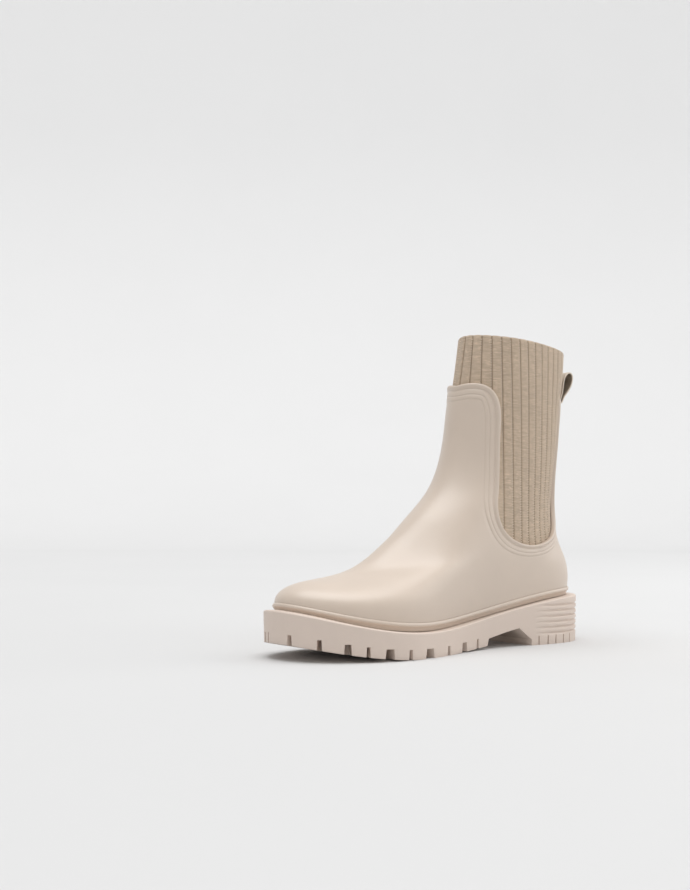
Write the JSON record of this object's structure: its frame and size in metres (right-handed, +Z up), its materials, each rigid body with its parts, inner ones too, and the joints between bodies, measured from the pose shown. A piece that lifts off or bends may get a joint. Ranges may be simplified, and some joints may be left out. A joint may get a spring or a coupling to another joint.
{
  "type": "rubber boot",
  "caption": "Left ankle rain boot: moulded rubber upper with side openings over a ribbed knit shaft, rear pull loop and thick lugged sole with a block heel.",
  "frame": {"origin": "on the floor, under the middle of the boot's box", "axes": "+Z up, -Y to the toe and +Y to the heel, +X to the outer side of this left boot"},
  "size_m": [0.1024, 0.2858, 0.2373],
  "materials": {
    "sole_rubber": "satin, warm beige, moulded",
    "upper_rubber": "satin, warm beige, moulded",
    "knit": "ribbed knit, matt",
    "lining": "flat textile, matt",
    "tape": "woven tape, matt"
  },
  "bodies": {
    "root": {"outsole": "sole_rubber", "welt": "sole_rubber", "upper": "upper_rubber", "knit_shaft": "knit", "insole": "lining", "pull_loop": "tape"}
  },
  "joints": []
}
